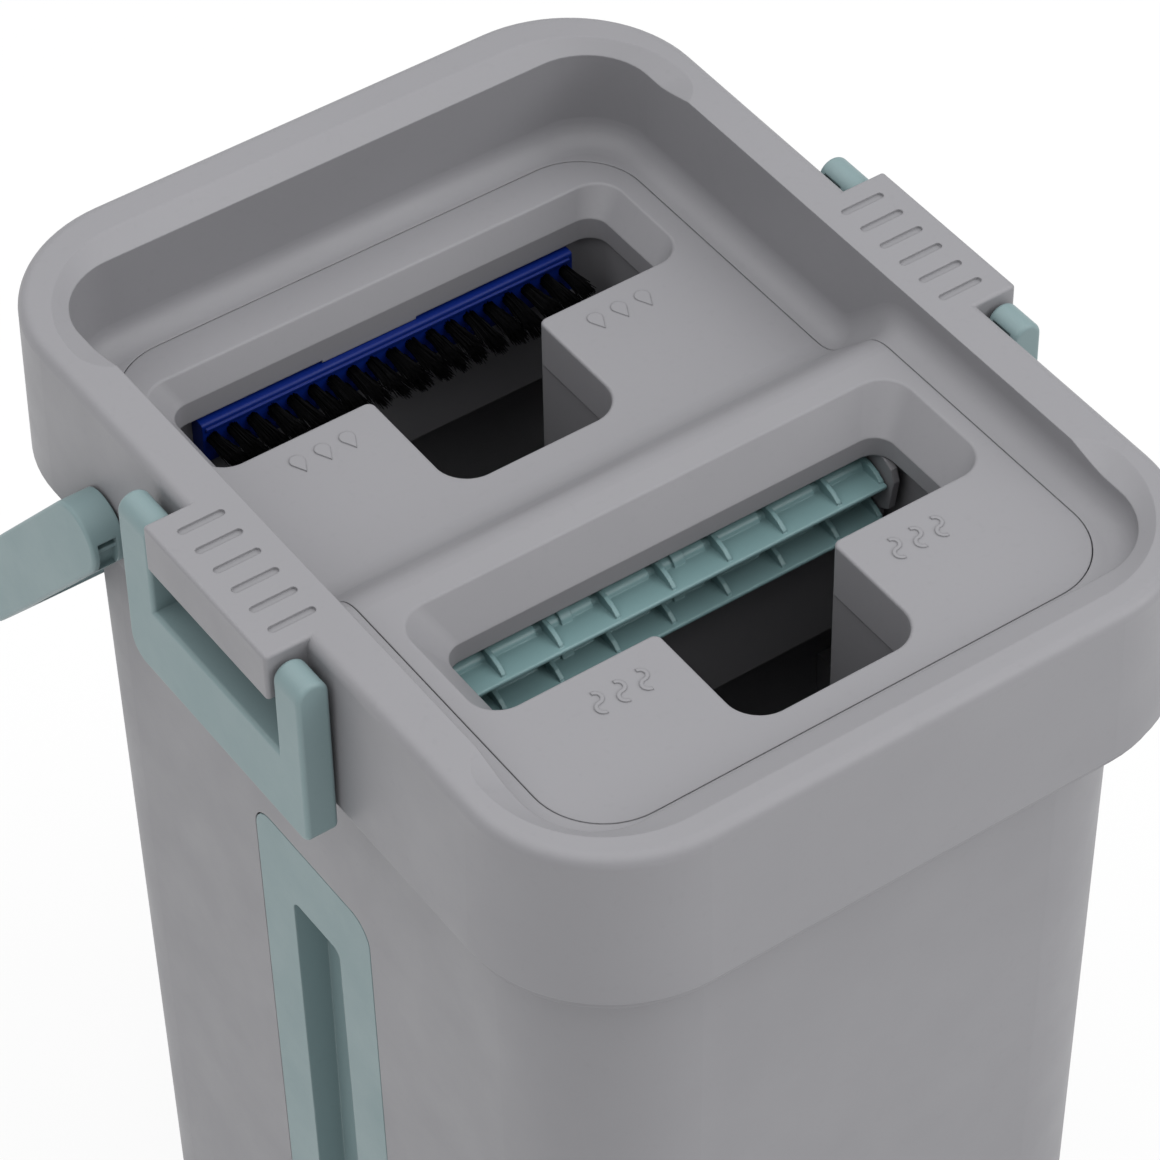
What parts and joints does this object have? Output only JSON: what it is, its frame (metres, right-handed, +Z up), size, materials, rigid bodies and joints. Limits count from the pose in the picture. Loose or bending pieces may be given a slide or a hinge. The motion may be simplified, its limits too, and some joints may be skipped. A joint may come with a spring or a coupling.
{
  "type": "flat mop wash and dry bucket",
  "caption": "Tall rounded-rectangular mop bucket with a clipped rim, a brushed wash slot, a ribbed-scraper wringing slot and a swinging bail.",
  "frame": {"origin": "on the floor, under the middle of the rim, at the centre of the tub's underside", "axes": "+Z up; -Y towards the wash slot and the hanging bail, +Y towards the dry slot; +X and -X towards the two rim latches"},
  "size_m": [0.224, 0.2845, 0.366],
  "materials": {
    "body_grey": "fine satin moulded polypropylene",
    "rim_grey": "fine satin moulded polypropylene",
    "chute_grey": "plain moulded polypropylene",
    "teal": "satin grey-green moulded plastic",
    "scraper_teal": "semi-gloss grey-green moulded plastic",
    "brush_blue": "glossy dark blue plastic",
    "bristle_black": "black nylon filament",
    "steel": "drawn stainless wire"
  },
  "bodies": {
    "bucket": {"bucket_tub": "body_grey", "tank_divider": "body_grey", "top_collar": "rim_grey", "side_panel_left": "teal", "side_panel_right": "teal", "latch_pins": "steel", "bail_pivot_left": "rim_grey", "bail_pivot_right": "rim_grey"},
    "wringer_insert": {"inner_tray": "rim_grey", "wash_chute": "chute_grey", "dry_chute": "chute_grey", "chute_screws": "steel", "bracket_screws": "steel", "brush_holder": "brush_blue", "bristle_tufts": "bristle_black", "upper_scraper_springs": "steel", "lower_scraper_springs": "steel", "scraper_bracket_left": "chute_grey", "scraper_bracket_right": "chute_grey"},
    "upper_scraper": {"upper_scraper": "scraper_teal", "upper_scraper_rod": "steel"},
    "lower_scraper": {"lower_scraper": "scraper_teal", "lower_scraper_rod": "steel"},
    "latch_left": {"latch_left": "teal"},
    "latch_right": {"latch_right": "teal"},
    "bail": {"bail_handle": "teal"}
  },
  "joints": [
    {"name": "bail_swing", "type": "hinge", "parent": "bucket", "child": "bail", "pos_m": [0, -0.068, 0.3287], "axis": [-1, 0, 0], "range_deg": [0, 153]},
    {"name": "latch_right_open", "type": "hinge", "parent": "bucket", "child": "latch_right", "pos_m": [0.1065, 0, 0.359], "axis": [0, -1, 0], "range_deg": [0, 100]},
    {"name": "latch_left_open", "type": "hinge", "parent": "bucket", "child": "latch_left", "pos_m": [-0.1065, 0, 0.359], "axis": [0, 1, 0], "range_deg": [0, 100]},
    {"name": "insert_lift", "type": "slide", "parent": "bucket", "child": "wringer_insert", "axis": [0, 0, 1], "range_m": [0, 0.07]},
    {"name": "upper_scraper_swing", "type": "hinge", "parent": "wringer_insert", "child": "upper_scraper", "pos_m": [0, 0.0268, 0.3295], "axis": [-1, 0, 0], "range_deg": [0, 30], "stiffness_Nm_per_rad": 0.02, "springref_deg": -22.92},
    {"name": "lower_scraper_swing", "type": "hinge", "parent": "wringer_insert", "child": "lower_scraper", "pos_m": [0, 0.0268, 0.3175], "axis": [-1, 0, 0], "range_deg": [0, 30], "stiffness_Nm_per_rad": 0.02, "springref_deg": -22.92}
  ]
}
